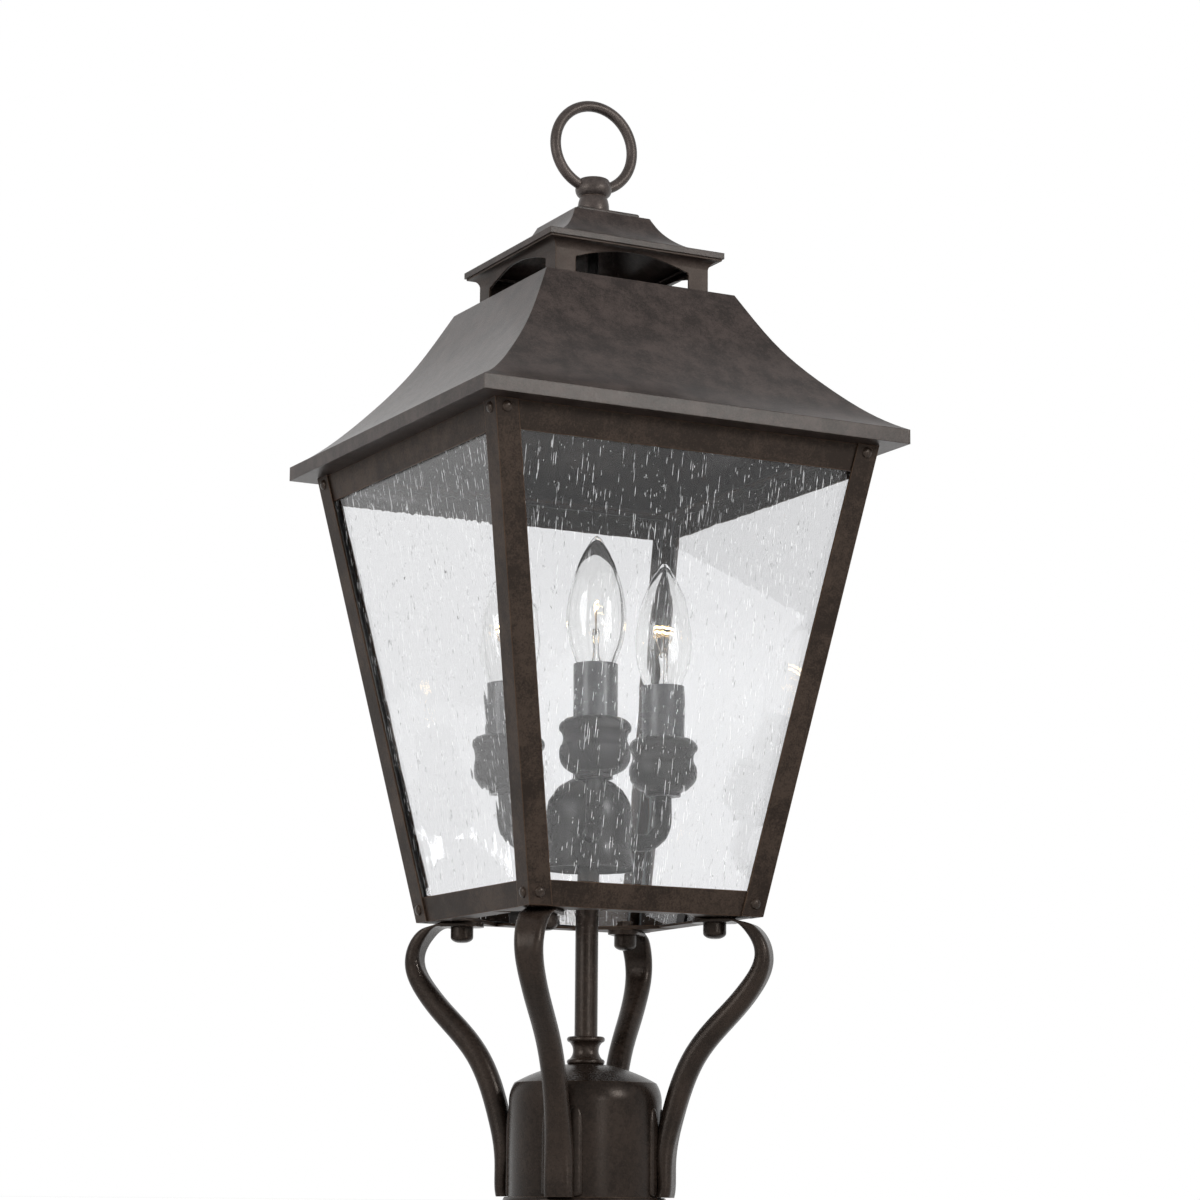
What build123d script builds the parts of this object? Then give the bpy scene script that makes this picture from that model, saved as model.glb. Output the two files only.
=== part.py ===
from build123d import *
import os
from math import cos, radians, sin, sqrt

# Post top lantern, in millimetres. +Z is up and the origin is the centre of the
# fitter's bottom rim, where the lantern meets the post.
# Side 1 faces -Y, side 2 +X, side 3 +Y and side 4 -X. Corner 1 is at (-X, -Y),
# and the numbers run the same way round.

# ---------------------------------------------------------------- sizes

sheet = 1.2            # formed sheet of the cage and the roof
slip = 0.05            # radial clearance of a pin or screw in its hole
gap = 0.3              # clear space left between neighbouring pieces

# Fitter: the spun cup that slips over the post
fitter_radius = 41.0
fitter_wall = 1.6
fitter_straight = 53.0        # height of the straight wall
shoulder_radius = 38.2        # crease where the wall meets the dome
shoulder_z = 64.3
fitter_top_z = 74.1
bead_radius = 43.7
bead_height = 4.0
set_screw_radius = 2.5
set_screw_z = 22.0
set_screw_head_radius = 4.6
set_screw_head_height = 3.2

# Centre stem and the turned collar at its foot
stem_radius = 6.2
stem_wall = 1.2
collar_height = 15.0
collar_rim_radius = 10.2
collar_waist_radius = 6.9
lock_nut_radius = 9.2
lock_nut_height = 5.0

# Glazed cage: its four sides lean outwards towards the roof
cage_bottom_z = 151.7
cage_top_z = 404.9
cage_bottom_half = 69.6
side_lean = 0.181             # outward run for each unit of height
post_leg = 13.3
rail_height = 13.3
top_rail_height = 14.9
rail_flange = 13.0
gusset_leg = 45.0
gusset_thick = 2.0
glass_thick = 3.0
rivet_shank_radius = 1.5
rivet_head_radius = 3.0
rivet_head_height = 1.7
rivet_from_corner = 6.6
clip_thick = 0.8
clip_width = 9.0
clip_height = 9.0

# Scroll legs between the fitter and the cage's corners
leg_foot_z = 4.2
foot_stand_off = 3.4          # from the fitter's wall to the middle of the leg's foot
curl_radius = 22.0
curl_from_corner = 17.4       # along the diagonal, from the cage's corner to the curl's centre
stud_from_corner = 26.8       # and to the stud
tab_thick = 2.8
tab_width = 17.5
tab_past_stud = 12.1
stud_radius = 2.5
stud_head_radius = 4.6
stud_head_height = 3.0
cap_nut_radius = 6.2
cap_nut_side = 5.2
cap_nut_dome = 3.2

# Candle cluster
cup_rim_z = 179.0
cup_rim_radius = 24.6
cup_shoulder_z = 216.0
cup_shoulder_radius = 22.2
cup_top_z = 228.5
cup_wall = 1.2
cup_nut_radius = 9.0
cup_nut_height = 6.5
candle_count = 3
candle_circle = 49.0
first_candle_angle = -114.0
arm_radius = 4.75
arm_wall = 1.1
arm_z = 196.0
arm_bend = 14.0
dish_bottom_z = 222.6
dish_height = 32.4
dish_foot_radius = 9.6
dish_bulge_radius = 19.0
dish_waist_radius = 17.6
dish_flange_radius = 19.2
sleeve_radius = 11.8
sleeve_wall = 1.0
sleeve_top_z = 284.0
socket_radius = 8.6
base_radius = 5.95            # E12 candelabra screw shell
base_length = 15.0
base_depth = 13.0             # how far the screw base sits below the sleeve's rim
bulb_radius = 16.0
bulb_tip_z = 357.0
bulb_wall = 0.8

# Hood
eave_half = 127.5
fascia_height = 7.9
hood_top_half = 58.1
hood_top_z = 494.9
hood_vent_half = 40.0

# Vent gallery and cap above the hood
gallery_half = 47.3
gallery_cove_z = 510.3
gallery_rim_half = 53.0
gallery_rim_z = 515.0
gallery_top_z = 516.1
arch_half = 35.2
arch_spring_z = 506.6
arch_crown_z = 513.4
cap_half = 54.0
cap_fascia = 3.4
cap_opening_half = 46.0
cap_upper_half = 23.4
cap_upper_z = 542.7
cap_step_half = 19.0
cap_top_z = 545.9

# Loop finial and the bolt that holds the cap down
knob_radius = 10.3
knob_z = 562.2
knob_top_z = 568.2
finial_foot_radius = 8.9
finial_waist_radius = 7.5
finial_waist_z = 557.7
ring_outer_radius = 27.3
ring_wire_radius = 3.05
ring_centre_z = 587.0
bolt_radius = 3.0
bolt_top_z = 555.0
bolt_head_radius = 5.5
bolt_head_height = 4.0
crossbar_width = 16.0
crossbar_half_length = 50.0
crossbar_thick = 2.0


# ---------------------------------------------------------------- helpers

def half_at(z):
    """Half width of the cage's outside at height z."""
    return cage_bottom_half + side_lean * (z - cage_bottom_z)


def spun(*edges):
    """A body of revolution from its half section in the XZ plane."""
    return revolve(make_face(Curve() + list(edges)), Axis.Z)


def four_sided(*edges):
    """A square-plan body whose half width follows the half section's outline."""
    half = make_face(Curve() + list(edges))
    whole = half + mirror(half, Plane.YZ)
    reach = 2 * eave_half
    along_y = extrude(whole, reach / 2, both=True)
    along_x = Rot(0, 0, 90) * along_y
    return along_y & along_x


def flat_part(points, z, thickness):
    """A flat plate from its plan outline."""
    outline = make_face(Polyline(*[(x, y, z) for x, y in points], close=True))
    return extrude(outline, thickness, dir=(0, 0, 1))


def leaning_sheet(z_low, z_high, setback, thickness, end_setback):
    """A flat sheet on the inside of side 1, which follows the side's lean."""
    corners = []
    for z, sign in ((z_low, -1), (z_low, 1), (z_high, 1), (z_high, -1)):
        corners.append((sign * (half_at(z) - end_setback), setback - half_at(z), z))
    outline = make_face(Polyline(*corners, close=True))
    return Part() + Solid.extrude(outline.face(), Vector(0, thickness, 0))


def face_frame(x, z):
    """A plane on the outside of side 1 whose normal points out of the side."""
    return Plane(origin=(x, -half_at(z), z), x_dir=(1, 0, 0), z_dir=(0, -1, -side_lean))


def on_side(number, shape):
    """Turn a piece made on side 1 or corner 1 round to another one."""
    return Rot(0, 0, 90 * (number - 1)) * shape


def on_diagonal(number, shape):
    """Turn a piece made along +X round to a corner of the lantern."""
    return Rot(0, 0, 225 + 90 * (number - 1)) * shape


def at_candle(number, shape):
    """Turn a piece made along +X round to one of the candles."""
    return Rot(0, 0, first_candle_angle + 360 / candle_count * (number - 1)) * shape


def hex_nut(radius, height, bore, z):
    outline = Plane.XY.offset(z) * (RegularPolygon(radius, 6) - Circle(bore))
    return extrude(outline, height)


def group(shapes):
    return Compound(children=list(shapes))


pieces = {}

# ---------------------------------------------------------------- fitter

bore_radius = fitter_radius - fitter_wall
crown_radius = collar_rim_radius + 1
wall_mid_radius = (fitter_radius + shoulder_radius) / 2 + 0.7
wall_mid_z = (fitter_straight + shoulder_z) / 2 + 0.8
dome_mid_radius = (shoulder_radius + crown_radius) / 2
dome_mid_z = (shoulder_z + fitter_top_z) / 2 + 1.3
stem_hole = stem_radius + slip
inner_top = fitter_top_z - fitter_wall

fitter = spun(
    Line((bore_radius, 0, 0), (bead_radius - 1, 0, 0)),
    ThreePointArc((bead_radius - 1, 0, 0), (bead_radius, 0, bead_height / 2),
                  (bead_radius - 1, 0, bead_height)),
    Line((bead_radius - 1, 0, bead_height), (fitter_radius, 0, bead_height)),
    Line((fitter_radius, 0, bead_height), (fitter_radius, 0, fitter_straight)),
    ThreePointArc((fitter_radius, 0, fitter_straight), (wall_mid_radius, 0, wall_mid_z),
                  (shoulder_radius, 0, shoulder_z)),
    ThreePointArc((shoulder_radius, 0, shoulder_z), (dome_mid_radius, 0, dome_mid_z),
                  (crown_radius, 0, fitter_top_z)),
    Line((crown_radius, 0, fitter_top_z), (stem_hole, 0, fitter_top_z)),
    Line((stem_hole, 0, fitter_top_z), (stem_hole, 0, inner_top)),
    Line((stem_hole, 0, inner_top), (crown_radius, 0, inner_top)),
    ThreePointArc((crown_radius, 0, inner_top), (dome_mid_radius, 0, dome_mid_z - fitter_wall),
                  (shoulder_radius - fitter_wall, 0, shoulder_z - fitter_wall)),
    ThreePointArc((shoulder_radius - fitter_wall, 0, shoulder_z - fitter_wall),
                  (wall_mid_radius - fitter_wall, 0, wall_mid_z - fitter_wall / 2),
                  (bore_radius, 0, fitter_straight)),
    Line((bore_radius, 0, fitter_straight), (bore_radius, 0, 0)),
)

# Two set screws clamp the fitter on the post, on sides 2 and 3
screw_length = fitter_wall + 1.5
screw_hole = Pos(fitter_radius, 0, set_screw_z) * Rot(0, 90, 0) * Cylinder(
    set_screw_radius + slip, 4 * fitter_wall)
screw_frame = Pos(bore_radius + 0.2, 0, set_screw_z) * Rot(0, 90, 0)
screw_shank = extrude(Circle(set_screw_radius), screw_length)
screw_head = Pos(0, 0, screw_length) * extrude(Circle(set_screw_head_radius), set_screw_head_height)
screw_head = fillet(screw_head.edges().group_by(Axis.Z)[-1], set_screw_head_height / 3)
slot_tool = Pos(0, 0, screw_length + set_screw_head_height) * Box(
    3 * set_screw_head_radius, 1.2, 2.0)
screw = screw_frame * (screw_shank + screw_head - slot_tool)
for number, turn in ((1, 0), (2, 90)):
    fitter -= Rot(0, 0, turn) * screw_hole
    pieces[f"fitter_screw_{number}"] = Rot(0, 0, turn) * screw
pieces["fitter_cup"] = fitter

# ---------------------------------------------------------------- stem

collar_top_z = fitter_top_z + collar_height
collar_mid_z = fitter_top_z + collar_height / 2
rim_height = collar_height / 5
rim_neck = collar_rim_radius - 0.45 * rim_height
pieces["stem_collar"] = spun(
    Line((stem_hole, 0, fitter_top_z), (rim_neck, 0, fitter_top_z)),
    ThreePointArc((rim_neck, 0, fitter_top_z),
                  (collar_rim_radius, 0, fitter_top_z + rim_height / 2),
                  (rim_neck, 0, fitter_top_z + rim_height)),
    ThreePointArc((rim_neck, 0, fitter_top_z + rim_height), (collar_waist_radius, 0, collar_mid_z),
                  (rim_neck, 0, collar_top_z - rim_height)),
    ThreePointArc((rim_neck, 0, collar_top_z - rim_height),
                  (collar_rim_radius, 0, collar_top_z - rim_height / 2),
                  (rim_neck, 0, collar_top_z)),
    Line((rim_neck, 0, collar_top_z), (stem_hole, 0, collar_top_z)),
    Line((stem_hole, 0, collar_top_z), (stem_hole, 0, fitter_top_z)),
)

stem_bottom_z = inner_top - lock_nut_height - 2
stem_top_z = cup_top_z + cup_nut_height - 1.5
stem = Plane.XY.offset(stem_bottom_z) * (Circle(stem_radius) - Circle(stem_radius - stem_wall))
pieces["stem_tube"] = extrude(stem, stem_top_z - stem_bottom_z)
pieces["stem_lock_nut"] = hex_nut(lock_nut_radius, lock_nut_height, stem_hole,
                                  inner_top - lock_nut_height)

# ---------------------------------------------------------------- scroll legs
# Each leg is one S-shaped bar. It is wide and shallow against the fitter, almost
# round in the middle, and pressed flat where it curls in under the cage's corner.

tab_top_z = cage_bottom_z - slip
cage_corner_r = cage_bottom_half * sqrt(2)
stud_r = cage_corner_r - stud_from_corner
tab_end_r = stud_r - tab_past_stud
curl_centre_r = cage_corner_r - curl_from_corner
curl_centre_z = tab_top_z - curl_radius
foot_r = fitter_radius + foot_stand_off
side_thick = 8.6              # thickness where the leg is furthest out
leg_run = curl_centre_r + curl_radius - side_thick / 2 - foot_r
leg_climb = curl_centre_z - leg_foot_z
leg_shape = [                 # share of the way out, share of the way up, width, thickness
    (0.0, 0.0, 15.8, 8.0),
    (0.012, 0.14, 15.6, 9.0),
    (0.08, 0.34, 13.6, 11.6),
    (0.19, 0.49, 12.9, 12.2),
    (0.325, 0.605, 12.9, 12.2),
    (0.50, 0.70, 12.9, 12.2),
    (0.70, 0.79, 13.2, 11.8),
    (0.873, 0.88, 13.8, 11.0),
]
curl_shape = [                # turn round the curl's centre, width, thickness
    (0, 15.2, side_thick),
    (28, 16.0, 7.2),
    (56, 16.8, 5.2),
    (90, tab_width, tab_thick),
]
leg_stations = []
for out, up, width, thickness in leg_shape:
    leg_stations.append((foot_r + out * leg_run, leg_foot_z + up * leg_climb, width, thickness))
for turn, width, thickness in curl_shape:
    reach = curl_radius - thickness / 2
    leg_stations.append((curl_centre_r + reach * cos(radians(turn)),
                         curl_centre_z + reach * sin(radians(turn)), width, thickness))
leg_line = Spline(*[(r, 0, z) for r, z, width, thickness in leg_stations],
                  tangents=[(0.02, 0, 1), (-1, 0, 0)])
sections = []
for r, z, width, thickness in leg_stations:
    plane = Plane(origin=(r, 0, z), x_dir=(0, 1, 0), z_dir=leg_line.tangent_at(Vector(r, 0, z)))
    sections.append(plane * RectangleRounded(width, thickness, 0.46 * thickness))
leg = loft(sections)
tab_round_r = tab_end_r + tab_width / 2
tab_outline = Plane.XY.offset(tab_top_z - 2 * tab_thick) * (
    Pos(tab_round_r, 0) * Circle(tab_width / 2)
    + Pos((tab_round_r + curl_centre_r) / 2, 0)
    * Rectangle(curl_centre_r - tab_round_r, 2 * tab_width))
tab = extrude(sections[-1], curl_centre_r - tab_end_r, dir=(-1, 0, 0))
leg += tab & extrude(tab_outline, 3 * tab_thick)
leg -= Cylinder(fitter_radius, fitter_straight * 2)
leg -= Pos(stud_r, 0, cage_bottom_z) * Cylinder(stud_radius + slip, 4 * tab_thick)
for number in range(1, 5):
    pieces[f"scroll_leg_{number}"] = on_diagonal(number, leg)

nut_top_z = tab_top_z - tab_thick
nut_shoulder_z = nut_top_z - cap_nut_side
cap_nut = spun(
    Line((0, 0, nut_shoulder_z), (0, 0, nut_shoulder_z - cap_nut_dome)),
    Spline((0, 0, nut_shoulder_z - cap_nut_dome),
           (cap_nut_radius * 0.82, 0, nut_shoulder_z - cap_nut_dome * 0.62),
           (cap_nut_radius, 0, nut_shoulder_z), tangents=[(1, 0, 0), (0, 0, 1)]),
    Line((cap_nut_radius, 0, nut_shoulder_z), (cap_nut_radius, 0, nut_top_z)),
    Line((cap_nut_radius, 0, nut_top_z), (stud_radius + slip, 0, nut_top_z)),
    Line((stud_radius + slip, 0, nut_top_z), (stud_radius + slip, 0, nut_shoulder_z)),
    Line((stud_radius + slip, 0, nut_shoulder_z), (0, 0, nut_shoulder_z)),
)
stud_head_z = cage_bottom_z + gusset_thick
stud = Pos(0, 0, nut_shoulder_z + gap) * extrude(
    Circle(stud_radius), stud_head_z - nut_shoulder_z - gap)
stud += hex_nut(stud_head_radius, stud_head_height, 0.6, stud_head_z)
stud -= Pos(0, 0, stud_head_z + stud_head_height) * Cylinder(0.7, stud_head_height)
pieces["leg_cap_nuts"] = group(on_diagonal(n, Pos(stud_r, 0, 0) * cap_nut) for n in range(1, 5))
pieces["leg_studs"] = group(on_diagonal(n, Pos(stud_r, 0, 0) * stud) for n in range(1, 5))

# ---------------------------------------------------------------- cage

rise = cage_top_z - cage_bottom_z
corner = -cage_bottom_half
leg_end = corner + post_leg
leg_inside = corner + sheet
post_outline = make_face(Polyline(
    (corner, corner, cage_bottom_z), (leg_end, corner, cage_bottom_z),
    (leg_end, leg_inside, cage_bottom_z), (leg_inside, leg_inside, cage_bottom_z),
    (leg_inside, leg_end, cage_bottom_z), (corner, leg_end, cage_bottom_z), close=True))
post = Part() + Solid.extrude(post_outline.face(),
                              Vector(-side_lean * rise, -side_lean * rise, rise))

bottom_rail = leaning_sheet(cage_bottom_z, cage_bottom_z + rail_height, sheet, sheet,
                            2 * sheet + gap)
flange_half = cage_bottom_half - 2 * sheet - gap - gusset_leg - gap
flange_out = cage_bottom_half - 1.5 * sheet
flange_in = cage_bottom_half - rail_flange
bottom_rail += flat_part([(-flange_half, -flange_out), (flange_half, -flange_out),
                          (flange_half, -flange_in), (-flange_half, -flange_in)],
                         cage_bottom_z, sheet)

top_rail_z = cage_top_z - top_rail_height
top_flange_out = half_at(cage_top_z) - 1.7 * sheet
top_flange_in = half_at(cage_top_z) - rail_flange
top_rail = leaning_sheet(top_rail_z, cage_top_z, sheet, sheet, 2 * sheet + gap)
top_rail += flat_part([(gap - top_flange_out, -top_flange_out),
                       (top_flange_out - gap, -top_flange_out),
                       (top_flange_in - gap, -top_flange_in),
                       (gap - top_flange_in, -top_flange_in)],
                      cage_top_z - sheet, sheet)
top_rail &= leaning_sheet(top_rail_z, cage_top_z, sheet, rail_flange, 2 * sheet + gap)

# Round head rivets join each post leg to the rail behind it
rivet_grip = 2 * sheet
rivet_tail_radius = rivet_shank_radius + 0.5
rivet_tail = 0.8
rivet_head = extrude(Circle(rivet_head_radius), rivet_head_height)
rivet_head = chamfer(rivet_head.edges().group_by(Axis.Z)[-1], 0.6 * rivet_head_height)
rivet = rivet_head + Pos(0, 0, -rivet_grip) * extrude(Circle(rivet_shank_radius), rivet_grip)
rivet += Pos(0, 0, -rivet_grip - rivet_tail) * extrude(Circle(rivet_tail_radius), rivet_tail)
rivet_hole = Cylinder(rivet_shank_radius + slip, 8 * sheet)
rivets = []
for z in (cage_bottom_z + rail_height / 2, cage_top_z - rail_height / 3):
    for sign in (-1, 1):
        frame = face_frame(sign * (half_at(z) - rivet_from_corner), z)
        hole = frame * rivet_hole
        post -= on_side(1 if sign < 0 else 4, hole)
        bottom_rail -= hole
        top_rail -= hole
        rivets += [on_side(n, frame * rivet) for n in range(1, 5)]

# More rivets clinch the hood's return flange to the top rails
hood_rivet_r = top_flange_in + rivet_head_radius + gap
for sign in (-1, 1):
    frame = Pos(sign * half_at(cage_top_z) / 2, -hood_rivet_r, cage_top_z - sheet)
    top_rail -= frame * rivet_hole
    rivets += [on_side(n, frame * Rot(180, 0, 0) * rivet) for n in range(1, 5)]

# Corner gussets take the studs
inside = gap + 2 * sheet - cage_bottom_half
clip_off = post_leg / 3
gusset = flat_part([(inside, inside + clip_off), (inside + clip_off, inside),
                    (inside + gusset_leg, inside), (inside, inside + gusset_leg)],
                   cage_bottom_z, gusset_thick)
stud_xy = stud_r / sqrt(2)
gusset -= Pos(-stud_xy, -stud_xy, cage_bottom_z) * Cylinder(stud_radius + slip, 4 * gusset_thick)

# Seeded glass panes stand behind the rails
pane_low_z = cage_bottom_z + gusset_thick + gap
pane_high_z = cage_top_z - sheet - 2 * gap
pane_front = 2 * sheet + gap
pane_back = pane_front + glass_thick
pane_side = rivet_from_corner + rivet_tail_radius + 2 * gap
pane = leaning_sheet(pane_low_z, pane_high_z, pane_front, glass_thick, pane_side)

# Spring clips press the panes against the rails
clips = []
for z_foot, z_tip in ((cage_bottom_z + sheet, cage_bottom_z + sheet + clip_height),
                      (cage_top_z - sheet, cage_top_z - sheet - clip_height)):
    foot_edge = half_at(z_foot) - pane_back
    tip_edge = half_at(z_tip) - pane_back
    thick = clip_thick if z_tip > z_foot else -clip_thick
    outline = make_face(Polyline(
        (-clip_width / 2, -foot_edge, z_foot), (-clip_width / 2, -tip_edge, z_tip),
        (-clip_width / 2, clip_thick - tip_edge, z_tip),
        (-clip_width / 2, clip_thick - foot_edge, z_foot + thick),
        (-clip_width / 2, clip_height / 2 - foot_edge, z_foot + thick),
        (-clip_width / 2, clip_height / 2 - foot_edge, z_foot), close=True))
    clip = Part() + Solid.extrude(outline.face(), Vector(clip_width, 0, 0))
    for x in (-flange_half / 2, flange_half / 2):
        clips += [on_side(n, Pos(x, 0, 0) * clip) for n in range(1, 5)]

for number in range(1, 5):
    pieces[f"corner_post_{number}"] = on_side(number, post)
    pieces[f"bottom_rail_{number}"] = on_side(number, bottom_rail)
    pieces[f"top_rail_{number}"] = on_side(number, top_rail)
    pieces[f"glass_pane_{number}"] = on_side(number, pane)
pieces["corner_gussets"] = group(on_side(n, gusset) for n in range(1, 5))
pieces["frame_rivets"] = group(rivets)
pieces["glass_clips"] = group(clips)

# ---------------------------------------------------------------- candle cluster

lip_radius = cup_rim_radius + 1.6
lip_z = cup_rim_z + 1.2
cup_crown = cup_nut_radius + 0.5
cup_arc_r = (cup_shoulder_radius + cup_crown) / 2
cup_arc_z = (cup_shoulder_z + cup_top_z) / 2 + 2.2
cup_flare_z = cup_rim_z + 6
cup_side_z = cup_rim_z + 18


def cup_side(inset):
    """The cup's flared side from its shoulder down to the lip, or its inside."""
    return Spline((cup_shoulder_radius - inset, 0, cup_shoulder_z),
                  (cup_shoulder_radius + 0.9 - inset, 0, cup_side_z),
                  (cup_rim_radius - 0.5 - inset, 0, cup_flare_z),
                  (lip_radius - inset, 0, lip_z))


wiring_cup = spun(
    Line((lip_radius - cup_wall, 0, lip_z), (lip_radius - cup_wall, 0, cup_rim_z)),
    Line((lip_radius - cup_wall, 0, cup_rim_z), (lip_radius, 0, cup_rim_z)),
    Line((lip_radius, 0, cup_rim_z), (lip_radius, 0, lip_z)),
    cup_side(0),
    ThreePointArc((cup_shoulder_radius, 0, cup_shoulder_z), (cup_arc_r, 0, cup_arc_z),
                  (cup_crown, 0, cup_top_z)),
    Line((cup_crown, 0, cup_top_z), (stem_hole, 0, cup_top_z)),
    Line((stem_hole, 0, cup_top_z), (stem_hole, 0, cup_top_z - cup_wall)),
    Line((stem_hole, 0, cup_top_z - cup_wall), (cup_crown, 0, cup_top_z - cup_wall)),
    ThreePointArc((cup_crown, 0, cup_top_z - cup_wall),
                  (cup_arc_r - 0.6 * cup_wall, 0, cup_arc_z - cup_wall),
                  (cup_shoulder_radius - cup_wall, 0, cup_shoulder_z)),
    cup_side(cup_wall),
)
arm_hole = Pos(cup_shoulder_radius, 0, arm_z) * Rot(0, 90, 0) * Cylinder(arm_radius + slip, 12)
for number in range(1, candle_count + 1):
    wiring_cup -= at_candle(number, arm_hole)
pieces["wiring_cup"] = wiring_cup
pieces["cup_top_nut"] = spun(
    Line((stem_hole, 0, cup_top_z), (cup_nut_radius, 0, cup_top_z)),
    Line((cup_nut_radius, 0, cup_top_z), (cup_nut_radius, 0, cup_top_z + cup_nut_height - 1.5)),
    ThreePointArc((cup_nut_radius, 0, cup_top_z + cup_nut_height - 1.5),
                  (cup_nut_radius - 0.5, 0, cup_top_z + cup_nut_height - 0.5),
                  (cup_nut_radius - 1.5, 0, cup_top_z + cup_nut_height)),
    Line((cup_nut_radius - 1.5, 0, cup_top_z + cup_nut_height),
         (stem_hole, 0, cup_top_z + cup_nut_height)),
    Line((stem_hole, 0, cup_top_z + cup_nut_height), (stem_hole, 0, cup_top_z)),
)
pieces["cup_under_nut"] = hex_nut(cup_nut_radius, 4.0, stem_hole, cup_top_z - cup_wall - 4.0)

# Tubular arms come out of the cup's side and turn up under the candles
arm_start = cup_shoulder_radius - 3
bend_r = candle_circle - arm_bend


def arm_rod(radius):
    """A solid rod along the arm's line: straight out, a quarter bend, straight up."""
    start = Plane(origin=(arm_start, 0, arm_z), z_dir=(1, 0, 0))
    bend = Pos(bend_r, 0, arm_z + arm_bend) * Rot(90, 0, 0) * Torus(arm_bend, radius)
    corner_box = Pos(bend_r + arm_bend, 0, arm_z) * Box(
        2 * arm_bend, 4 * radius, 2 * arm_bend)
    rod = extrude(start * Circle(radius), bend_r - arm_start)
    rod += bend & corner_box
    rod += extrude(Plane(origin=(candle_circle, 0, arm_z + arm_bend)) * Circle(radius),
                   dish_bottom_z - arm_z - arm_bend)
    return rod


arm = arm_rod(arm_radius) - arm_rod(arm_radius - arm_wall)

# Turned dish, candle sleeve and lamp socket, made on the Z axis and moved out
dish_top_z = dish_bottom_z + dish_height
dish_floor_z = dish_bottom_z + 5
dish_foot_z = dish_bottom_z + 0.07 * dish_height
dish_bulge_z = dish_bottom_z + 0.42 * dish_height
dish_ridge_z = dish_bottom_z + 0.52 * dish_height
dish_neck_z = dish_bottom_z + 0.74 * dish_height
dish_flange_z = dish_bottom_z + 0.92 * dish_height
sleeve_bore = sleeve_radius + slip
dish_bore = arm_radius - arm_wall
dish = spun(
    Line((dish_bore, 0, dish_bottom_z), (dish_foot_radius, 0, dish_bottom_z)),
    Line((dish_foot_radius, 0, dish_bottom_z), (dish_foot_radius, 0, dish_foot_z)),
    Spline((dish_foot_radius, 0, dish_foot_z), (dish_bulge_radius, 0, dish_bulge_z),
           (dish_bulge_radius - 0.4, 0, dish_ridge_z), tangents=[(1, 0, 0.25), (-0.25, 0, 1)]),
    Spline((dish_bulge_radius - 0.4, 0, dish_ridge_z), (dish_waist_radius, 0, dish_neck_z),
           (dish_flange_radius - 0.4, 0, dish_neck_z + 1.4),
           tangents=[(-0.7, 0, 1), (1, 0, 0.4)]),
    ThreePointArc((dish_flange_radius - 0.4, 0, dish_neck_z + 1.4),
                  (dish_flange_radius, 0, (dish_neck_z + dish_flange_z) / 2 + 0.7),
                  (dish_flange_radius - 1.0, 0, dish_flange_z)),
    ThreePointArc((dish_flange_radius - 1.0, 0, dish_flange_z),
                  (dish_flange_radius - 3.0, 0, dish_top_z - 0.9),
                  (sleeve_radius + 1.5, 0, dish_top_z)),
    Line((sleeve_radius + 1.5, 0, dish_top_z), (sleeve_bore, 0, dish_top_z)),
    Line((sleeve_bore, 0, dish_top_z), (sleeve_bore, 0, dish_floor_z)),
    Line((sleeve_bore, 0, dish_floor_z), (dish_bore, 0, dish_floor_z)),
    Line((dish_bore, 0, dish_floor_z), (dish_bore, 0, dish_bottom_z)),
)
sleeve = extrude(Plane.XY.offset(dish_floor_z)
                 * (Circle(sleeve_radius) - Circle(sleeve_radius - sleeve_wall)),
                 sleeve_top_z - dish_floor_z)
base_top_z = sleeve_top_z - base_depth
socket_top_z = base_top_z - 1.5
base_bottom_z = base_top_z - base_length
socket_bore_z = base_bottom_z - 2.5
socket = extrude(Plane.XY.offset(dish_floor_z) * Circle(socket_radius), socket_top_z - dish_floor_z)
socket -= Pos(0, 0, socket_bore_z) * extrude(Circle(base_radius + slip),
                                             socket_top_z - socket_bore_z)

# Candle bulb: screw base, blown glass and the filament on its glass mount
base = extrude(Plane.XY.offset(base_bottom_z) * Circle(base_radius), base_length)
base = fillet(base.edges().group_by(Axis.Z)[0], 1.5)
base += Pos(0, 0, base_bottom_z - 1.2) * extrude(Circle(base_radius * 0.4), 2.0)
bulb_height = bulb_tip_z - base_top_z
neck_radius = base_radius - 0.15


def bulb_outline(inset):
    """Outside of the blown envelope, or its inside when inset is not zero."""
    return Spline((neck_radius - inset, 0, base_top_z),
                  (bulb_radius * 0.70 - inset, 0, base_top_z + 0.22 * bulb_height),
                  (bulb_radius - inset, 0, base_top_z + 0.48 * bulb_height),
                  (bulb_radius * 0.70 - inset * 0.9, 0, base_top_z + 0.83 * bulb_height),
                  (0, 0, bulb_tip_z - inset),
                  tangents=[(0.10, 0, 1), (-1, 0, 0.02)])


envelope = spun(bulb_outline(0), bulb_outline(bulb_wall),
                Line((neck_radius, 0, base_top_z), (neck_radius - bulb_wall, 0, base_top_z)),
                Line((0, 0, bulb_tip_z - bulb_wall), (0, 0, bulb_tip_z)))
mount_radius = 2.2
wire_radius = 0.45
wire_spread = 5.6
mount_top_z = base_top_z + 0.36 * bulb_height
filament_top_z = base_top_z + 0.51 * bulb_height
filament = extrude(Plane.XY.offset(base_top_z) * Circle(mount_radius), mount_top_z - base_top_z)
filament = fillet(filament.edges().group_by(Axis.Z)[-1], mount_radius / 2)
for sign in (-1, 1):
    wire_line = Polyline((sign * 1.2, 0, mount_top_z - 4),
                         (sign * wire_spread, 0, filament_top_z - 5),
                         (sign * wire_spread, 0, filament_top_z))
    wire_end = Plane(origin=wire_line @ 0, z_dir=wire_line % 0)
    filament += sweep(wire_end * Circle(wire_radius), path=wire_line, transition=Transition.ROUND)
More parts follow.
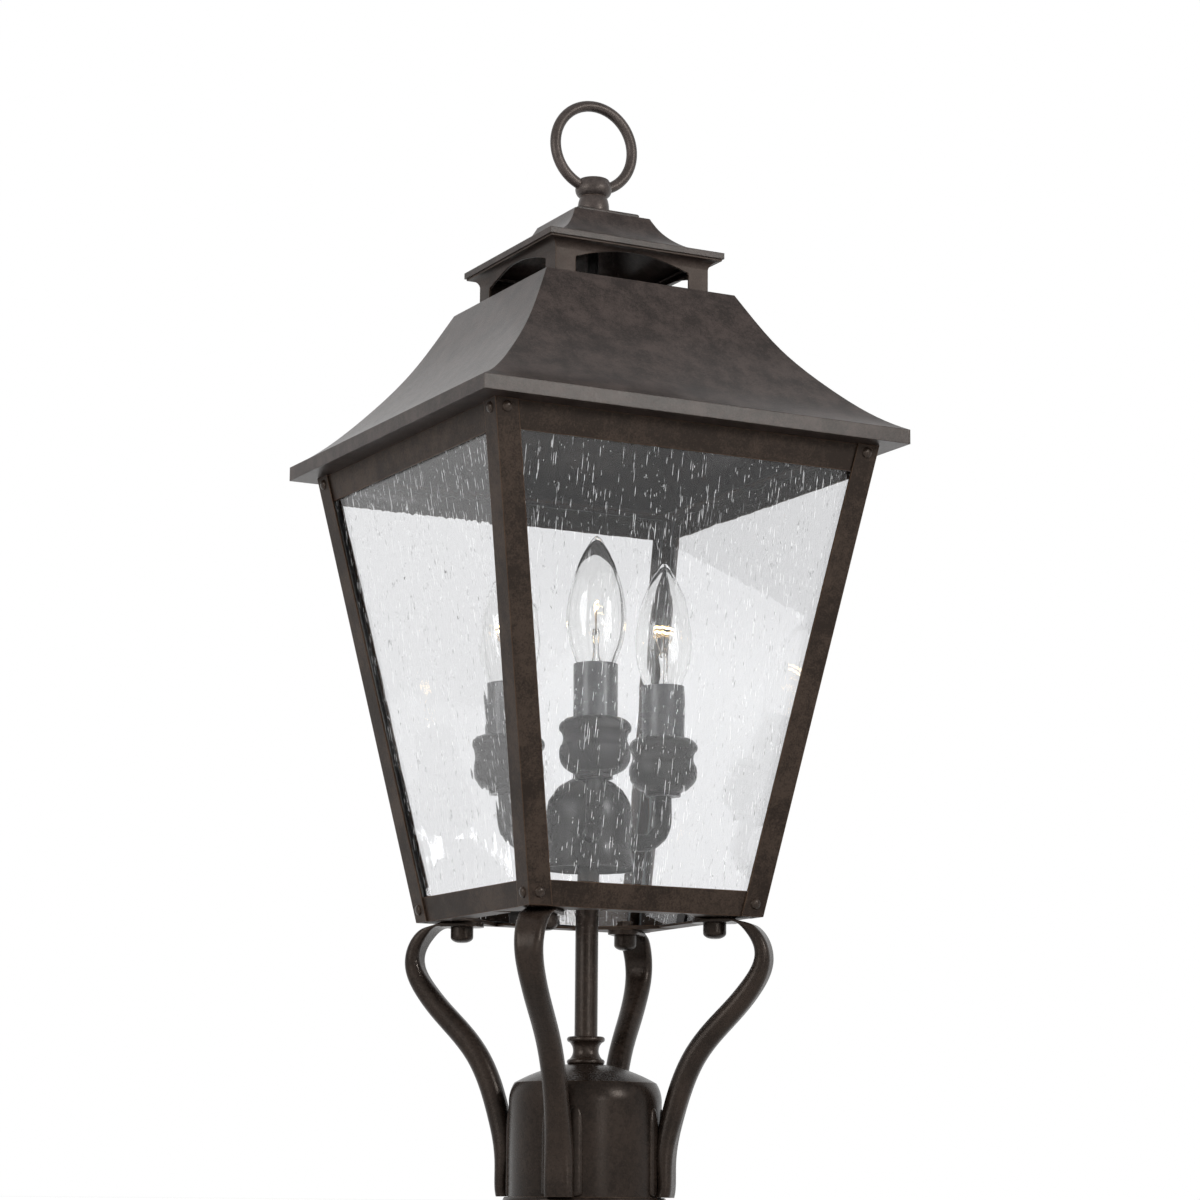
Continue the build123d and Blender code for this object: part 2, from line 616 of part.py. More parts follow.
for drop in (0, 2.6):
    filament += Pos(0, 0, filament_top_z - drop) * Rot(0, 90, 0) * Cylinder(
        wire_radius * 1.1, 2 * wire_spread)

for number in range(1, candle_count + 1):
    out = Pos(candle_circle, 0, 0)
    pieces[f"candle_arm_{number}"] = at_candle(number, arm)
    pieces[f"candle_dish_{number}"] = at_candle(number, out * dish)
    pieces[f"candle_sleeve_{number}"] = at_candle(number, out * sleeve)
    pieces[f"bulb_{number}_base"] = at_candle(number, out * base)
    pieces[f"bulb_{number}_glass"] = at_candle(number, out * envelope)
    pieces[f"bulb_{number}_filament"] = at_candle(number, out * filament)
pieces["lamp_sockets"] = group(
    at_candle(n, Pos(candle_circle, 0, 0) * socket) for n in range(1, candle_count + 1))

# ---------------------------------------------------------------- hood


def roof_curve(low, high, bends, low_slope, high_slope):
    """Concave roof line from the fascia up to the flat top."""
    run = low[0] - high[0]
    climb = high[1] - low[1]
    points = [low] + [(low[0] - f * run, low[1] + h * climb) for f, h in bends] + [high]
    return Spline(*[(x, 0, z) for x, z in points],
                  tangents=[(-1, 0, low_slope), (-1, 0, high_slope)])


def roof_body(half, z_low, z_fascia, top_half, z_top, bends, slopes):
    return four_sided(
        Line((0, 0, z_low), (half, 0, z_low)),
        Line((half, 0, z_low), (half, 0, z_fascia)),
        roof_curve((half, z_fascia), (top_half, z_top), bends, *slopes),
        Line((top_half, 0, z_top), (0, 0, z_top)),
        Line((0, 0, z_top), (0, 0, z_low)),
    )


eave_z = cage_top_z
hood_bends = [(0.42, 0.284), (0.72, 0.588)]
hood_slopes = (0.50, 1.85)
hood_opening_half = half_at(cage_top_z) - rail_flange + 1.6
thin = 0.78 * sheet                # shift in and down that keeps the sheet even
hood = roof_body(eave_half, eave_z, eave_z + fascia_height, hood_top_half, hood_top_z,
                 hood_bends, hood_slopes)
hood -= roof_body(eave_half - sheet, eave_z + sheet, eave_z + fascia_height - thin,
                  hood_top_half - thin, hood_top_z - sheet, hood_bends, hood_slopes)
hood -= Pos(0, 0, eave_z) * Box(2 * hood_opening_half, 2 * hood_opening_half, 4 * sheet)
hood -= Pos(0, 0, hood_top_z) * Box(2 * hood_vent_half, 2 * hood_vent_half, 4 * sheet)
for number in range(1, 5):
    for sign in (-1, 1):
        hood -= on_side(number, Pos(sign * half_at(cage_top_z) / 2, -hood_rivet_r, eave_z)
                        * rivet_hole)
pieces["hood"] = hood

# ---------------------------------------------------------------- vent gallery


def gallery_body(inset):
    rim_z = gallery_rim_z + inset * 0.55
    half = gallery_half - inset
    rim = gallery_rim_half - inset
    return four_sided(
        Line((0, 0, hood_top_z), (half, 0, hood_top_z)),
        Line((half, 0, hood_top_z), (half, 0, gallery_cove_z)),
        ThreePointArc((half, 0, gallery_cove_z),
                      (half + 0.28 * (rim - half), 0,
                       gallery_cove_z + 0.70 * (rim_z - gallery_cove_z)),
                      (rim, 0, rim_z)),
        Line((rim, 0, rim_z), (rim, 0, gallery_top_z)),
        Line((rim, 0, gallery_top_z), (0, 0, gallery_top_z)),
        Line((0, 0, gallery_top_z), (0, 0, hood_top_z)),
    )


gallery = gallery_body(0) - gallery_body(sheet)
shoulder = arch_half - 2.0
arch = make_face(Curve() + [
    Line((-arch_half, 0, hood_top_z - 1), (arch_half, 0, hood_top_z - 1)),
    Line((arch_half, 0, hood_top_z - 1), (arch_half, 0, arch_spring_z - 1)),
    ThreePointArc((arch_half, 0, arch_spring_z - 1), (arch_half - 0.6, 0, arch_spring_z + 0.6),
                  (shoulder, 0, arch_spring_z + 1)),
    ThreePointArc((shoulder, 0, arch_spring_z + 1), (0, 0, arch_crown_z),
                  (-shoulder, 0, arch_spring_z + 1)),
    ThreePointArc((-shoulder, 0, arch_spring_z + 1), (0.6 - arch_half, 0, arch_spring_z + 0.6),
                  (-arch_half, 0, arch_spring_z - 1)),
    Line((-arch_half, 0, arch_spring_z - 1), (-arch_half, 0, hood_top_z - 1)),
])
arch_tool = extrude(arch, cap_half, both=True)
gallery -= arch_tool
gallery -= Rot(0, 0, 90) * arch_tool
pieces["vent_gallery"] = gallery

# ---------------------------------------------------------------- cap

cap_bends = [(0.50, 0.224), (0.80, 0.56)]
cap_slopes = (0.25, 2.1)
cap = roof_body(cap_half, gallery_top_z, gallery_top_z + cap_fascia, cap_upper_half, cap_upper_z,
                cap_bends, cap_slopes)
cap -= roof_body(cap_half - sheet, gallery_top_z + sheet, gallery_top_z + cap_fascia - thin,
                 cap_upper_half - thin, cap_upper_z - sheet, cap_bends, cap_slopes)
cap -= Pos(0, 0, gallery_top_z) * Box(2 * cap_opening_half, 2 * cap_opening_half, 4 * sheet)
cap_step = Pos(0, 0, cap_upper_z) * extrude(
    Rectangle(2 * cap_step_half, 2 * cap_step_half), cap_top_z - cap_upper_z)
cap += chamfer(cap_step.edges().group_by(Axis.Z)[-1], 0.8)
cap -= Pos(0, 0, cap_top_z) * Cylinder(bolt_radius + gap, 6 * (cap_top_z - cap_upper_z))
pieces["cap"] = cap

# ---------------------------------------------------------------- finial

finial_hole = bolt_radius + slip
finial_hole_top = bolt_top_z + 0.6
finial_foot_z = (cap_top_z + finial_waist_z) / 2 - 0.8
finial = spun(
    Line((finial_hole, 0, cap_top_z), (finial_foot_radius - 0.7, 0, cap_top_z)),
    ThreePointArc((finial_foot_radius - 0.7, 0, cap_top_z), (finial_foot_radius, 0, finial_foot_z),
                  (finial_waist_radius, 0, finial_waist_z)),
    Spline((finial_waist_radius, 0, finial_waist_z), (knob_radius, 0, knob_z),
           (knob_radius - 1.5, 0, knob_top_z - 0.8), tangents=[(1, 0, 0.5), (-0.45, 0, 1)]),
    ThreePointArc((knob_radius - 1.5, 0, knob_top_z - 0.8), (knob_radius - 2.2, 0, knob_top_z - 0.2),
                  (knob_radius - 3.4, 0, knob_top_z)),
    Line((knob_radius - 3.4, 0, knob_top_z), (0, 0, knob_top_z)),
    Line((0, 0, knob_top_z), (0, 0, finial_hole_top)),
    Line((0, 0, finial_hole_top), (finial_hole, 0, finial_hole_top)),
    Line((finial_hole, 0, finial_hole_top), (finial_hole, 0, cap_top_z)),
)
ring_line_radius = ring_outer_radius - ring_wire_radius
ring = Pos(0, 0, ring_centre_z) * Rot(90, 0, 0) * Torus(ring_line_radius, ring_wire_radius)
pieces["finial_knob"] = Rot(0, 0, 90) * finial - ring
pieces["finial_ring"] = ring

crossbar_z = hood_top_z - sheet - crossbar_thick
crossbar = Pos(0, 0, crossbar_z) * extrude(
    Rectangle(2 * crossbar_half_length, crossbar_width), crossbar_thick)
crossbar -= Pos(0, 0, crossbar_z) * Cylinder(finial_hole, 4 * crossbar_thick)
pieces["cap_crossbar"] = crossbar
bolt = extrude(Plane.XY.offset(crossbar_z) * Circle(bolt_radius), bolt_top_z - crossbar_z)
bolt += extrude(Plane.XY.offset(crossbar_z - bolt_head_height) * RegularPolygon(bolt_head_radius, 6),
                bolt_head_height)
pieces["cap_bolt"] = bolt

# ---------------------------------------------------------------- files

os.makedirs("parts", exist_ok=True)
for name, shape in pieces.items():
    export_step(shape, f"parts/{name}.step")
print(len(pieces), "pieces")
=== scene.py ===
import math

import bmesh
import bpy
from mathutils import Matrix, Vector


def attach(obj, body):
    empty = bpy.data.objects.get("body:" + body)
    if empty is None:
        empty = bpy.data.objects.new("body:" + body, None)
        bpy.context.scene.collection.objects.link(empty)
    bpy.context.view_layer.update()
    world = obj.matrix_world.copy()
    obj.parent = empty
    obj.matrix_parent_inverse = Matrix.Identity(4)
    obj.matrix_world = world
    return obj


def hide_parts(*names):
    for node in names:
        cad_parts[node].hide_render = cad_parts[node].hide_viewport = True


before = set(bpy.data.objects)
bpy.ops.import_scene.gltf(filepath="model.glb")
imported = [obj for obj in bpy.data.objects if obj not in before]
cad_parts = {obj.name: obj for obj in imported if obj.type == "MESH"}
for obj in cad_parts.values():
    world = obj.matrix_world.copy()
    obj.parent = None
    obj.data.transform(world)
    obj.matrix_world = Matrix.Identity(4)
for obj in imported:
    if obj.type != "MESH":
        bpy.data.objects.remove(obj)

scene = bpy.context.scene
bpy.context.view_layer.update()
mm = 0.001
sides = range(1, 5)
candles = range(1, 4)

# ---------------------------------------------------------------- the studio
# A white room with a dimmer ceiling, a pale floor, and four soft lamps. The room
# and the floor are white to the camera and softer for the light they give.

camera_at = Vector((-829.9, -1593.7, 3.0)) * mm
camera_yaw = math.radians(27.686)
camera_pitch = math.radians(10.246)
camera_roll = math.radians(0.482)
camera_data = bpy.data.cameras.new("Camera")
camera_data.lens = 99.50
camera_data.sensor_width = 36.0
camera_data.clip_start = 0.05
camera_data.clip_end = 60.0
camera = bpy.data.objects.new("Camera", camera_data)
camera.matrix_world = (Matrix.Translation(camera_at)
                       @ Matrix.Rotation(-camera_yaw, 4, "Z")
                       @ Matrix.Rotation(math.radians(90) + camera_pitch, 4, "X")
                       @ Matrix.Rotation(camera_roll, 4, "Z"))
scene.collection.objects.link(camera)
scene.camera = camera
scene.view_settings.view_transform = "Standard"


def set_input(tree, socket, value):
    """Give a node's input a plain value, or link another node's output to it."""
    if isinstance(value, bpy.types.NodeSocket):
        tree.links.new(value, socket)
    else:
        socket.default_value = value


def set_inputs(tree, node, values):
    """Give several of a node's inputs their values, by name."""
    for name, value in values.items():
        set_input(tree, node.inputs[name], value)


def math_node(tree, operation, first, second):
    """One Math node's result."""
    made = tree.nodes.new("ShaderNodeMath")
    made.operation = operation
    for socket, value in zip(made.inputs, (first, second)):
        set_input(tree, socket, value)
    return made.outputs[0]


def blend(tree, value, low, high, start=0.0, end=1.0):
    """A number that goes from low to high as the value goes from start to end."""
    made = tree.nodes.new("ShaderNodeMapRange")
    set_inputs(tree, made, {"Value": value, "From Min": start, "From Max": end,
                            "To Min": low, "To Max": high})
    return made.outputs["Result"]


def new_material(name):
    """An empty material, its node tree and its main shader."""
    made = bpy.data.materials.new(name)
    made.use_nodes = True
    return made, made.node_tree, made.node_tree.nodes["Principled BSDF"]


def mix_surface(tree, factor, plain, other):
    """Let the surface show the plain shader, and the other one where the factor is 1."""
    mix = tree.nodes.new("ShaderNodeMixShader")
    for socket, source in zip(mix.inputs, (factor, plain.outputs[0], other.outputs[0])):
        tree.links.new(source, socket)
    tree.links.new(mix.outputs[0], tree.nodes["Material Output"].inputs["Surface"])


room_light = 0.50
ceiling_dim = 0.70
ceiling_start, ceiling_end = 0.25, 0.95
world = bpy.data.worlds.new("Room")
scene.world = world
world.use_nodes = True
room = world.node_tree
direction = room.nodes.new("ShaderNodeTexCoord")
height = room.nodes.new("ShaderNodeSeparateXYZ")
room.links.new(direction.outputs["Generated"], height.inputs[0])
walls = blend(room, height.outputs["Z"], 1.0, ceiling_dim, ceiling_start, ceiling_end)
room_path = room.nodes.new("ShaderNodeLightPath").outputs
room_seen = math_node(room, "MAXIMUM", room_path["Is Camera Ray"], room_path["Is Transmission Ray"])
room_soft = math_node(room, "MULTIPLY", walls, room_light)
room_mirrored = blend(room, room_path["Is Glossy Ray"], room_soft, walls)
set_inputs(room, room.nodes["Background"], {"Color": (1.0, 1.0, 1.0, 1.0),
                                            "Strength": blend(room, room_seen, room_mirrored, 1.0)})

floor_half = 6.0
floor_white = 0.85
floor_glow = 0.60
floor_dim = 0.30
floor_mesh = bpy.data.meshes.new("Floor")
floor_mesh.from_pydata([(-floor_half, -floor_half, 0), (floor_half, -floor_half, 0),
                        (floor_half, floor_half, 0), (-floor_half, floor_half, 0)],
                       [], [(0, 1, 2, 3)])
floor = bpy.data.objects.new("Floor", floor_mesh)
scene.collection.objects.link(floor)
floor_paint, floor_tree, floor_shader = new_material("Floor_Paint")
set_inputs(floor_tree, floor_shader, {
    "Base Color": (floor_white, floor_white, floor_white, 1), "Roughness": 1.0,
    "Specular IOR Level": 0.0, "Emission Color": (1, 1, 1, 1), "Emission Strength": floor_glow})
floor_soft = floor_tree.nodes.new("ShaderNodeBsdfDiffuse")
floor_soft.inputs["Color"].default_value = (floor_dim, floor_dim, floor_dim, 1)
floor_path = floor_tree.nodes.new("ShaderNodeLightPath").outputs
floor_seen = math_node(floor_tree, "MAXIMUM", floor_path["Is Camera Ray"],
                       math_node(floor_tree, "MAXIMUM", floor_path["Is Glossy Ray"],
                                 floor_path["Is Transmission Ray"]))
mix_surface(floor_tree, floor_seen, floor_soft, floor_shader)
floor_mesh.materials.append(floor_paint)

# Name, place, width, power, and the height on the lantern's axis that it is aimed at.
lamp_places = (
    ("Lamp_Left", (-1.3, -0.3, 0.62), 0.8, 9.0, 0.44),
    ("Lamp_Right", (0.90, -2.00, 0.95), 0.60, 23.0, 0.41),
    ("Lamp_Front", (-0.10, -2.2, 0.30), 0.30, 5.0, 0.10),
    ("Lamp_Back", (0.4, 2.4, 1.6), 1.6, 1.0, 0.48),
)
for lamp_name, place, lamp_size, power, aim_height in lamp_places:
    lamp_data = bpy.data.lights.new(lamp_name, "AREA")
    lamp_data.shape = "DISK"
    lamp_data.size = lamp_size
    lamp_data.energy = power
    lamp = bpy.data.objects.new(lamp_name, lamp_data)
    lamp.location = place
    aim = Vector((0, 0, aim_height)) - Vector(place)
    lamp.rotation_euler = aim.to_track_quat("-Z", "Y").to_euler()
    scene.collection.objects.link(lamp)

# ---------------------------------------------------------------- post fitter
# The fitter is a spun steel cup that slips over the lamp post. It is painted
# dark bronze, a satin paint with a fine mottle, and its rim is rolled to a bead.

cloud_share, mottle_share, speckle_share = 0.45, 0.30, 0.25
speckle_coarseness = 0.28
tone_middle, tone_reach = 0.51, 0.09
edge_samples = 4
edge_start, edge_full = 0.998, 0.92
gloss_start, gloss_end = 0.3, 0.7
grain_depth = 0.0003


def noise(tree, scale, detail=2.0, stretch=(1, 1, 1), roughness=0.5):
    """Noise on the piece's own place in the lantern, stretched where asked."""
    place = tree.nodes.new("ShaderNodeTexCoord")
    mapping = tree.nodes.new("ShaderNodeMapping")
    set_inputs(tree, mapping, {"Vector": place.outputs["Object"], "Scale": stretch})
    made = tree.nodes.new("ShaderNodeTexNoise")
    set_inputs(tree, made, {"Vector": mapping.outputs["Vector"], "Scale": scale,
                            "Detail": detail, "Roughness": roughness})
    return made.outputs["Fac"]


def tone_ramp(tree, factor, dark, pale, dark_at=0.0, pale_at=1.0):
    """A colour that goes from dark to pale as the factor rises."""
    made = tree.nodes.new("ShaderNodeValToRGB")
    for number, (position, colour) in enumerate(((dark_at, dark), (pale_at, pale))):
        made.color_ramp.elements[number].position = position
        made.color_ramp.elements[number].color = (*colour, 1)
    tree.links.new(factor, made.inputs["Fac"])
    return made.outputs["Color"]


def bronze(name, dark, pale, edge, shine, grain=0.30, mottle_scale=1100.0, edge_radius=0.0007,
           edge_wear_and_highlight=0.70, cloud_scale=40.0, contrast=1.0, patchy=0.05, index=1.30,
           sheen=(1.0, 0.86, 0.76)):
    """Satin bronze paint: tone clouds, a fine mottle, edges part wear and part painted highlight.
    """
    made, tree, shader = new_material(name)
    clouds = noise(tree, cloud_scale, 4.0, roughness=0.6)
    mottle = noise(tree, mottle_scale, 2.0, roughness=0.7)
    speckle = noise(tree, mottle_scale * speckle_coarseness, 3.0, roughness=0.75)
    fine_tone = math_node(tree, "ADD", math_node(tree, "MULTIPLY", mottle, mottle_share),
                          math_node(tree, "MULTIPLY", speckle, speckle_share))
    tone = math_node(tree, "ADD", math_node(tree, "MULTIPLY", clouds, cloud_share), fine_tone)
    paint = tone_ramp(tree, tone, dark, pale, tone_middle - tone_reach / contrast,
                      tone_middle + tone_reach / contrast)
    rounded = tree.nodes.new("ShaderNodeBevel")
    rounded.samples = edge_samples
    rounded.inputs["Radius"].default_value = edge_radius
    surface = tree.nodes.new("ShaderNodeNewGeometry")
    facing = tree.nodes.new("ShaderNodeVectorMath")
    facing.operation = "DOT_PRODUCT"
    tree.links.new(rounded.outputs["Normal"], facing.inputs[0])
    tree.links.new(surface.outputs["Normal"], facing.inputs[1])
    coat = tree.nodes.new("ShaderNodeMix")
    coat.data_type = "RGBA"
    # Edges turn to the paler edge colour: part paint wear, part a painted highlight.
    worn_and_highlit = blend(tree, facing.outputs["Value"], 0.0, edge_wear_and_highlight, edge_start, edge_full)
    set_inputs(tree, coat, {"Factor": worn_and_highlit, "A": paint, "B": (*edge, 1)})
    skin = tree.nodes.new("ShaderNodeBump")
    set_inputs(tree, skin, {"Strength": grain, "Distance": grain_depth, "Height": mottle,
                            "Normal": rounded.outputs["Normal"]})
    gloss = blend(tree, speckle, shine - patchy, shine + patchy, gloss_start, gloss_end)
    set_inputs(tree, shader, {"Base Color": coat.outputs["Result"], "Roughness": gloss,
                              "Normal": skin.outputs["Normal"], "IOR": index,
                              "Specular Tint": (*sheen, 1)})
    return made


def dress(material, *node_names):
    """Give CAD nodes their material."""
    for node_name in node_names:
        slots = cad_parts[node_name].data.materials
        slots.clear()
        slots.append(material)


bronze_dark = (0.0150, 0.0100, 0.0076)
bronze_pale = (0.0480, 0.0335, 0.0255)
bronze_edge = (0.1000, 0.0640, 0.0420)
satin_dark = (0.0085, 0.0058, 0.0045)
satin_pale = (0.0290, 0.0200, 0.0155)
fitter_bronze = bronze("Bronze_Fitter", satin_dark, satin_pale, bronze_edge, shine=0.28,
                       grain=0.15, index=1.25)
dress(fitter_bronze, "fitter_cup")

# ---------------------------------------------------------------- set screws
# Two slotted steel screws in the fitter's wall clamp it on the post. They are
# blackened, so that they go with the paint.

blackened = bronze("Blackened_Screw", (0.010, 0.010, 0.010), (0.035, 0.034, 0.034),
                   (0.10, 0.10, 0.10), shine=0.34)
dress(blackened, "fitter_screw_1", "fitter_screw_2")

# ---------------------------------------------------------------- centre stem
# A steel tube runs from the fitter up to the candle cluster. A turned collar
# hides the joint at its foot, and a lock nut holds it under the fitter's dome.

stem_bronze = bronze("Bronze_Stem", satin_dark, satin_pale, bronze_edge, shine=0.25, index=1.32)
dress(stem_bronze, "stem_tube", "stem_collar", "stem_lock_nut")

# ---------------------------------------------------------------- scroll legs
# Four forged bars stand on the fitter and curl in under the cage's corners,
# where each is pressed flat for its stud and cap nut. They are painted bronze.

leg_bronze = bronze("Bronze_Legs", satin_dark, satin_pale, bronze_edge, shine=0.28, index=1.28)
dress(leg_bronze, *[f"scroll_leg_{n}" for n in sides])
dress(leg_bronze, "leg_cap_nuts", "leg_studs")

# ---------------------------------------------------------------- weld beads
# Each leg's foot is welded to the fitter down both sides. The fillets are ground
# smooth and painted over: low beads whose pale edge is part wear, part painted highlight.

fitter_radius = 41.0 * mm
foot_half_width = 7.2 * mm
first_leg = 225
bead_low, bead_high = 4.4 * mm, 51.0 * mm
bead_sunk = 0.0002
bead_sizes = {"Length": bead_high - bead_low, "Width": 0.0042, "Proud": 0.0018, "Ripple": 0.0002}
bead_ends = ((0.0, 0.55), (1.0, 0.05))
bead_middle = ((0.04, 1.0), (0.80, 0.96), (0.93, 0.72))
bead_rings, bead_ring_sides = 60, 16
bead_ripple_scale = 420.0


def start_tree(name, sizes):
    """An empty Geometry Nodes tree with one named input for each size."""
    made = bpy.data.node_groups.new(name, "GeometryNodeTree")
    made.interface.new_socket("Geometry", in_out="INPUT", socket_type="NodeSocketGeometry")
    made.interface.new_socket("Geometry", in_out="OUTPUT", socket_type="NodeSocketGeometry")
    for size_name, value in sizes.items():
        socket = made.interface.new_socket(size_name, in_out="INPUT",
                                           socket_type="NodeSocketFloat")
        socket.default_value = value
    return made, made.nodes.new("NodeGroupInput").outputs, made.nodes.new("NodeGroupOutput").inputs


def step(tree, kind, settings=None, **inputs):
    """Add one node. Its inputs go by name, or by number as n0, n1 and so on."""
    made = tree.nodes.new(kind)
    for name, value in (settings or {}).items():
        setattr(made, name, value)
    for name, value in inputs.items():
        by_number = name[0] == "n" and name[1:].isdigit()
        set_input(tree, made.inputs[int(name[1:]) if by_number else name.replace("_", " ")], value)
    return made.outputs


def carried(tree, name):
    """The vector that each point carries under a name."""
    return step(tree, "GeometryNodeInputNamedAttribute", {"data_type": "FLOAT_VECTOR"},
                Name=name)["Attribute"]


def finish_tree(tree, shape, group_out, material):
    """End the tree: instances made real, then the material."""
    real = step(tree, "GeometryNodeRealizeInstances", Geometry=shape)
    painted = step(tree, "GeometryNodeSetMaterial", Geometry=real[0], Material=material)
    tree.links.new(painted[0], group_out[0])


def grow(name, points, tree, sizes, attributes, faces=()):
    """Run a tree on some points or faces, and keep the result as a plain mesh."""
    base = bpy.data.meshes.new(name + "_Base")
    base.from_pydata(points, [], list(faces))
    for label, values in attributes.items():
        layer = base.attributes.new(label, "FLOAT_VECTOR", "POINT")
        for item, value in zip(layer.data, values):
            item.vector = value
    carrier = bpy.data.objects.new(name + "_Base", base)
    scene.collection.objects.link(carrier)
    modifier = carrier.modifiers.new("Nodes", "NODES")
    modifier.node_group = tree
    for item in tree.interface.items_tree:
        if item.in_out == "INPUT" and item.name in sizes:
            modifier[item.identifier] = sizes[item.name]
    grown = carrier.evaluated_get(bpy.context.evaluated_depsgraph_get())
    mesh = bpy.data.meshes.new_from_object(grown)
    carrier.modifiers.clear()
    bpy.data.objects.remove(carrier)
    mesh.name = name
    piece = bpy.data.objects.new(name, mesh)
    scene.collection.objects.link(piece)
    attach(piece, "lantern")
    return piece


bead_tree, bead_in, bead_out = start_tree("Weld_Bead", bead_sizes)
bead_end = step(bead_tree, "ShaderNodeCombineXYZ", Z=bead_in["Length"])
bead_line = step(bead_tree, "GeometryNodeCurvePrimitiveLine", End=bead_end[0])
bead_line = step(bead_tree, "GeometryNodeResampleCurve", Curve=bead_line[0], Count=bead_rings)
bead_along = step(bead_tree, "GeometryNodeSplineParameter")
bead_swell = step(bead_tree, "ShaderNodeFloatCurve", Value=bead_along["Factor"])
swell_curve = bead_swell[0].node.mapping.curves[0]
for number, end_point in enumerate(bead_ends):
    swell_curve.points[number].location = end_point
for share, fullness in bead_middle:
    swell_curve.points.new(share, fullness)
bead_swell[0].node.mapping.update()
bead_line = step(bead_tree, "GeometryNodeSetCurveRadius", Curve=bead_line[0],
                 Radius=bead_swell[0])
bead_ring = step(bead_tree, "GeometryNodeCurvePrimitiveCircle", Resolution=bead_ring_sides,
                 Radius=1.0)
bead_skin = step(bead_tree, "GeometryNodeCurveToMesh", Curve=bead_line[0],
                 Profile_Curve=bead_ring[0], Fill_Caps=True, Scale=bead_swell[0])
bead_size = step(bead_tree, "ShaderNodeCombineXYZ", X=bead_in["Proud"], Y=bead_in["Width"], Z=1.0)
bead_skin = step(bead_tree, "GeometryNodeTransform", Geometry=bead_skin[0], Scale=bead_size[0])
bead_noise = step(bead_tree, "ShaderNodeTexNoise", Scale=bead_ripple_scale, Detail=1.0)
bead_shift = step(bead_tree, "ShaderNodeVectorMath", {"operation": "SUBTRACT"},
                  n0=bead_noise["Color"], n1=(0.5, 0.5, 0.5))
bead_shift = step(bead_tree, "ShaderNodeVectorMath", {"operation": "SCALE"},
                  n0=bead_shift[0], Scale=bead_in["Ripple"])
bead_skin = step(bead_tree, "GeometryNodeSetPosition", Geometry=bead_skin[0],
                 Offset=bead_shift[0])
bead_skin = step(bead_tree, "GeometryNodeSetShadeSmooth", Geometry=bead_skin[0])
bead_turn = step(bead_tree, "FunctionNodeEulerToRotation", Euler=carried(bead_tree, "turn"))
bead_all = step(bead_tree, "GeometryNodeInstanceOnPoints", Points=bead_in["Geometry"],
                Instance=bead_skin[0], Rotation=bead_turn[0])
finish_tree(bead_tree, bead_all[0], bead_out, leg_bronze)
bead_places, bead_turns = [], []
for quarter in range(4):
    for sign in (-1, 1):
        angle = (math.radians(first_leg + 90 * quarter)
                 + sign * math.asin(foot_half_width / fitter_radius))
        bead_places.append(((fitter_radius - bead_sunk) * math.cos(angle),
                            (fitter_radius - bead_sunk) * math.sin(angle), bead_low))
        bead_turns.append((0, 0, angle))
grow("Weld_Beads", bead_places, bead_tree, bead_sizes, {"turn": bead_turns})

# ---------------------------------------------------------------- cage
# The cage is folded and riveted sheet steel: an L section post at each corner,
# with a flanged rail behind the posts at the top and at the bottom.

# The cage's strong pale edge lines are part wear and part painted highlight along the folds.
cage_bronze = bronze("Bronze_Cage", bronze_dark, bronze_pale, (0.130, 0.076, 0.046), shine=0.44,
                     edge_wear_and_highlight=0.9, edge_radius=0.0008, contrast=1.5, index=1.22)
for n in sides:
    dress(cage_bronze, f"corner_post_{n}", f"bottom_rail_{n}", f"top_rail_{n}")
dress(cage_bronze, "corner_gussets")
dress(blackened, "glass_clips")

# ---------------------------------------------------------------- rivets
# Round head rivets hold the rails to the posts and the hood's flange to the top
# rails. Each is headed outside and clinched inside, and painted like the cage.

cage_low, cage_high = 151.7, 404.9
cage_half, cage_lean = 69.6, 0.181
rivet_rows = (158.35, 400.467)
rivet_inset, hood_rivet_inset = 6.6, 9.7
rivet_head, rivet_tail = (3.0, 3.0, 1.7), (2.0, 2.0, 0.9)
sheets_thick = 2.4
flange_half = 1.2
rivet_segments, rivet_rings = 28, 14
rivet_fullness = {"Fullness": 1.0}


def cage_half_at(z):
    """Half width of the cage's outside at height z, in millimetres."""
    return cage_half + cage_lean * (z - cage_low)


def turned(point, quarter):
    """A point or direction of side 1, turned round to another side."""
    return Matrix.Rotation(math.radians(90 * quarter), 3, "Z") @ Vector(point)


rivet_bronze = bronze("Bronze_Rivets", bronze_dark, bronze_pale, bronze_edge, shine=0.27,
                      grain=0.10, index=1.32)
rivet_places, rivet_facings, rivet_sizes = [], [], []
side_out = Vector((0, -1, -cage_lean)).normalized()
for quarter in range(4):
    for z in rivet_rows:
        for sign in (-1, 1):
            spot = Vector((sign * (cage_half_at(z) - rivet_inset), -cage_half_at(z), z))
            for depth, facing, size in ((0, 1, rivet_head), (sheets_thick, -1, rivet_tail)):
                rivet_places.append(turned((spot - side_out * depth) * mm, quarter))
                rivet_facings.append(turned(side_out * facing, quarter))
                rivet_sizes.append(Vector(size) * mm)
    for sign in (-1, 1):
        spot = Vector((sign * cage_half_at(cage_high) / 2,
                       -(cage_half_at(cage_high) - hood_rivet_inset), cage_high))
        for facing, size in ((-1, rivet_head), (1, rivet_tail)):
            rivet_places.append(turned((spot + Vector((0, 0, facing * flange_half))) * mm, quarter))
            rivet_facings.append(Vector((0, 0, facing)))
            rivet_sizes.append(Vector(size) * mm)
rivet_tree, rivet_in, rivet_out = start_tree("Rivet", rivet_fullness)
rivet_dome = step(rivet_tree, "GeometryNodeMeshUVSphere", Segments=rivet_segments,
                  Rings=rivet_rings, Radius=1.0)
rivet_dome = step(rivet_tree, "GeometryNodeSetShadeSmooth", Geometry=rivet_dome["Mesh"])
rivet_size = step(rivet_tree, "ShaderNodeVectorMath", {"operation": "SCALE"},
                  n0=carried(rivet_tree, "size"), Scale=rivet_in["Fullness"])
rivet_turn = step(rivet_tree, "FunctionNodeAlignRotationToVector", {"axis": "Z"},
                  Vector=carried(rivet_tree, "facing"))
